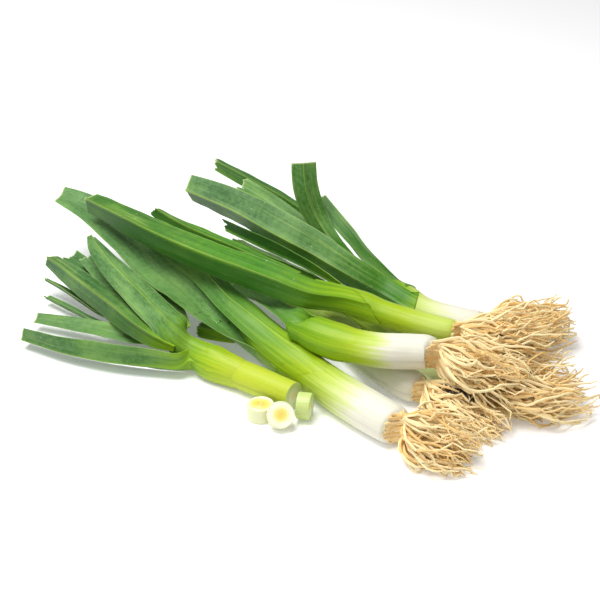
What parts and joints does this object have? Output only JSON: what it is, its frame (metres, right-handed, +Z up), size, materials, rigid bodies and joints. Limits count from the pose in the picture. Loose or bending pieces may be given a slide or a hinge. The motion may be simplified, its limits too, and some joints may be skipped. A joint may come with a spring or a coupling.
{
  "type": "pile of leeks",
  "caption": "Loose pile of whole leeks with pale stems, straw-coloured root tufts and long folded green leaves, with short cut stem slices beside them.",
  "frame": {"origin": "bottom centre of the pile, on the surface that it lies on", "axes": "+X towards the roots of the leeks on the right, the pile's longest side; +Y towards the back leaves; +Z up"},
  "size_m": [0.4423, 0.3683, 0.1045],
  "materials": {
    "stem_white": "satin",
    "stem_green": "satin",
    "leaf": "satin",
    "root": "matte",
    "slice": "satin"
  },
  "bodies": {
    "root": {"a_stem": "stem_white", "b_stem": "stem_white", "c_stem": "stem_green", "d_stem": "stem_white", "e_stem": "stem_white", "f_stem": "stem_green", "g_stem": "stem_white", "a_roots": "root", "b_roots": "root", "c_roots": "root", "d_roots": "root", "e_roots": "root", "g_roots": "root", "a_leaf_upper": "leaf", "a_leaf_lower": "leaf", "b_leaf": "leaf", "c_leaf_main": "leaf", "c_leaf_slim": "leaf", "c_leaf_back": "leaf", "c_leaf_under": "leaf", "d_leaf_main": "leaf", "d_leaf_upright": "leaf", "d_leaf_right": "leaf", "d_leaf_back_outer": "leaf", "d_leaf_back_inner": "leaf", "e_leaf": "leaf", "g_leaf": "leaf", "f_leaf_front": "leaf", "f_leaf_strip": "leaf", "f_leaf_long": "leaf", "f_leaf_grey": "leaf", "f_leaf_inner": "leaf", "f_leaf_olive": "leaf", "f_leaf_rear": "leaf", "f_leaf_spear_a": "leaf", "f_leaf_spear_b": "leaf", "leaf_scrap": "leaf", "slice_flat": "slice", "slice_leaning": "slice", "slice_upright": "slice"}
  },
  "joints": []
}
